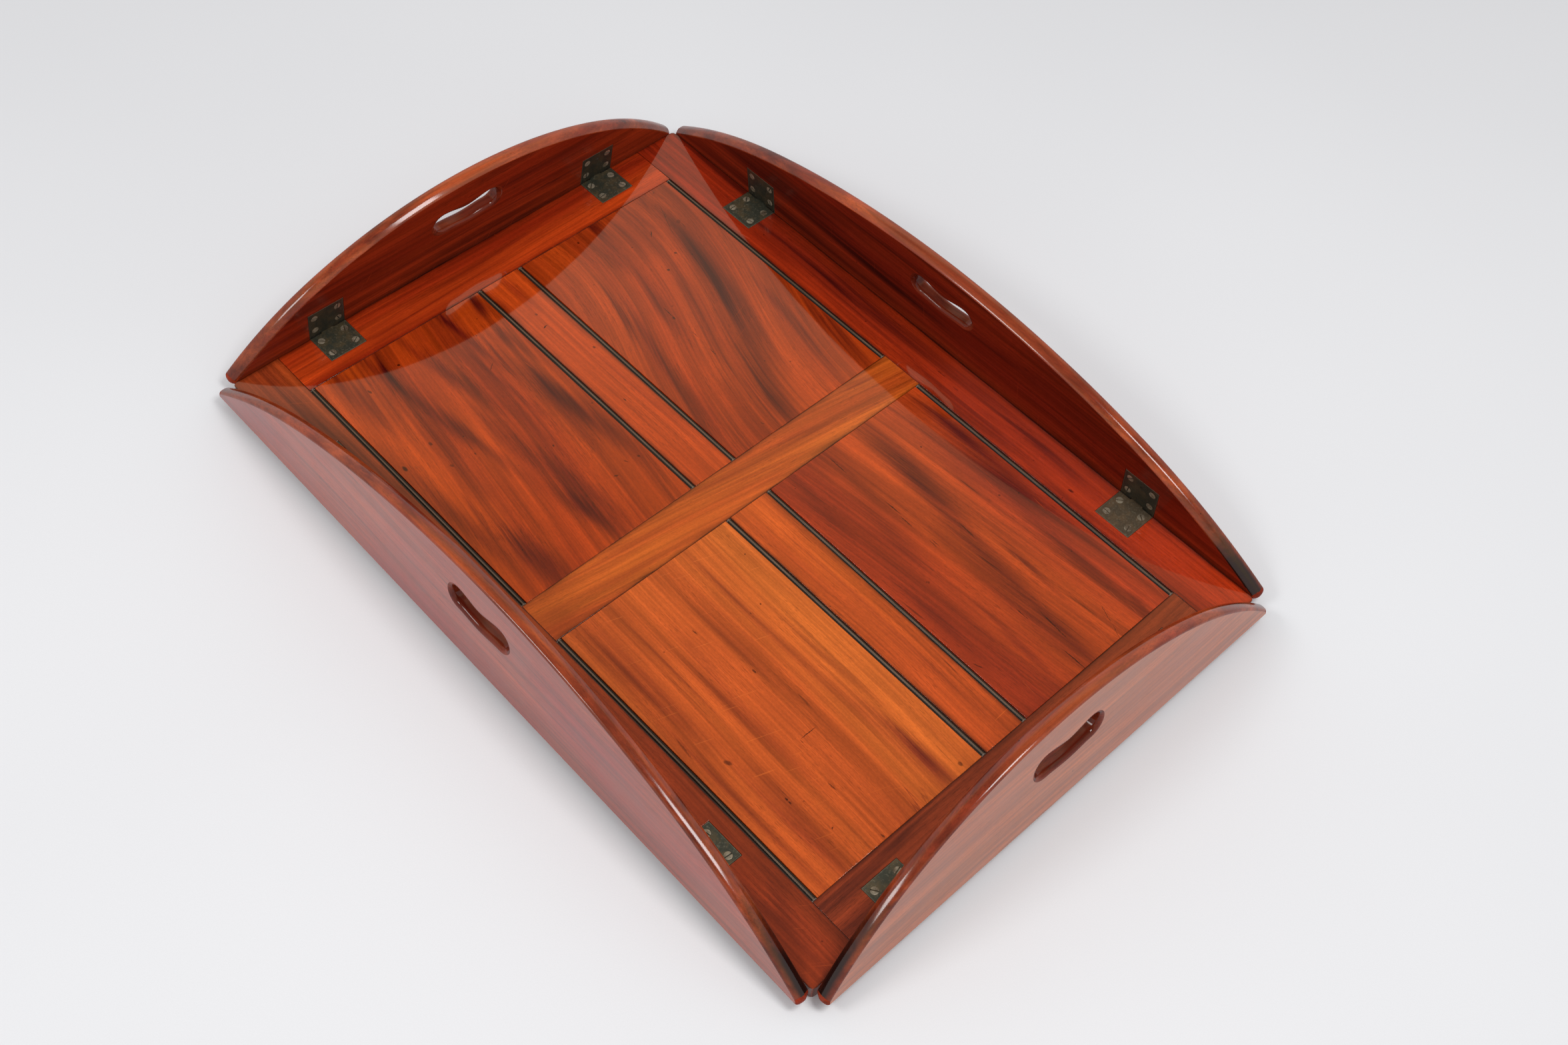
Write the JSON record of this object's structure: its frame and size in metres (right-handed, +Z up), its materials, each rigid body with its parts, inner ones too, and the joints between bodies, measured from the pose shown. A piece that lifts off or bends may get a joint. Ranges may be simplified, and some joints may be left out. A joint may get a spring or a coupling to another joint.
{
  "type": "butler tray",
  "caption": "Rectangular wooden tray with a framed and panelled base and hinged curved flaps with hand holes that fold down flat.",
  "frame": {"origin": "on the surface that the tray rests on, under the middle of its base", "axes": "+X along the base's long side, +Y along its short side, +Z up"},
  "size_m": [0.77, 0.5398, 0.1181],
  "materials": {
    "frame_mahogany": "french polished mahogany, worn",
    "cross_rail_wood": "french polished, lighter orange brown",
    "panel_mahogany": "french polished mahogany with dark streaks",
    "flap_mahogany": "french polished mahogany, deep red brown",
    "ebonised_strip": "ebonised, semi gloss",
    "hinge_brass": "dark patina, worn",
    "spring_steel": "dull"
  },
  "bodies": {
    "base": {"front_stile": "frame_mahogany", "back_stile": "frame_mahogany", "left_end_rail": "frame_mahogany", "right_end_rail": "frame_mahogany", "left_muntin": "frame_mahogany", "right_muntin": "frame_mahogany", "cross_rail": "cross_rail_wood", "left_front_panel": "panel_mahogany", "left_back_panel": "panel_mahogany", "right_front_panel": "panel_mahogany", "right_back_panel": "panel_mahogany", "left_front_panel_front_bead": "ebonised_strip", "left_front_panel_back_bead": "ebonised_strip", "left_back_panel_front_bead": "ebonised_strip", "left_back_panel_back_bead": "ebonised_strip", "right_front_panel_front_bead": "ebonised_strip", "right_front_panel_back_bead": "ebonised_strip", "right_back_panel_front_bead": "ebonised_strip", "right_back_panel_back_bead": "ebonised_strip", "front_base_leaf_1": "hinge_brass", "front_base_leaf_2": "hinge_brass", "back_base_leaf_1": "hinge_brass", "back_base_leaf_2": "hinge_brass", "left_base_leaf_1": "hinge_brass", "left_base_leaf_2": "hinge_brass", "right_base_leaf_1": "hinge_brass", "right_base_leaf_2": "hinge_brass"},
    "front_flap": {"front_flap": "flap_mahogany", "front_flap_leaf_1": "hinge_brass", "front_flap_leaf_2": "hinge_brass", "front_hinge_pin_1": "spring_steel", "front_hinge_pin_2": "spring_steel", "front_spring_1": "spring_steel", "front_spring_2": "spring_steel"},
    "back_flap": {"back_flap": "flap_mahogany", "back_flap_leaf_1": "hinge_brass", "back_flap_leaf_2": "hinge_brass", "back_hinge_pin_1": "spring_steel", "back_hinge_pin_2": "spring_steel", "back_spring_1": "spring_steel", "back_spring_2": "spring_steel"},
    "left_flap": {"left_flap": "flap_mahogany", "left_flap_leaf_1": "hinge_brass", "left_flap_leaf_2": "hinge_brass", "left_hinge_pin_1": "spring_steel", "left_hinge_pin_2": "spring_steel", "left_spring_1": "spring_steel", "left_spring_2": "spring_steel"},
    "right_flap": {"right_flap": "flap_mahogany", "right_flap_leaf_1": "hinge_brass", "right_flap_leaf_2": "hinge_brass", "right_hinge_pin_1": "spring_steel", "right_hinge_pin_2": "spring_steel", "right_spring_1": "spring_steel", "right_spring_2": "spring_steel"}
  },
  "joints": [
    {"name": "front_flap_hinge", "type": "hinge", "parent": "base", "child": "front_flap", "pos_m": [0, -0.258, 0.0142], "axis": [1, 0, 0], "range_deg": [0, 96.6]},
    {"name": "back_flap_hinge", "type": "hinge", "parent": "base", "child": "back_flap", "pos_m": [0, 0.258, 0.0142], "axis": [-1, 0, 0], "range_deg": [0, 96.6]},
    {"name": "left_flap_hinge", "type": "hinge", "parent": "base", "child": "left_flap", "pos_m": [-0.373, 0, 0.0142], "axis": [0, -1, 0], "range_deg": [0, 99.8]},
    {"name": "right_flap_hinge", "type": "hinge", "parent": "base", "child": "right_flap", "pos_m": [0.373, 0, 0.0142], "axis": [0, 1, 0], "range_deg": [0, 99.8]}
  ]
}
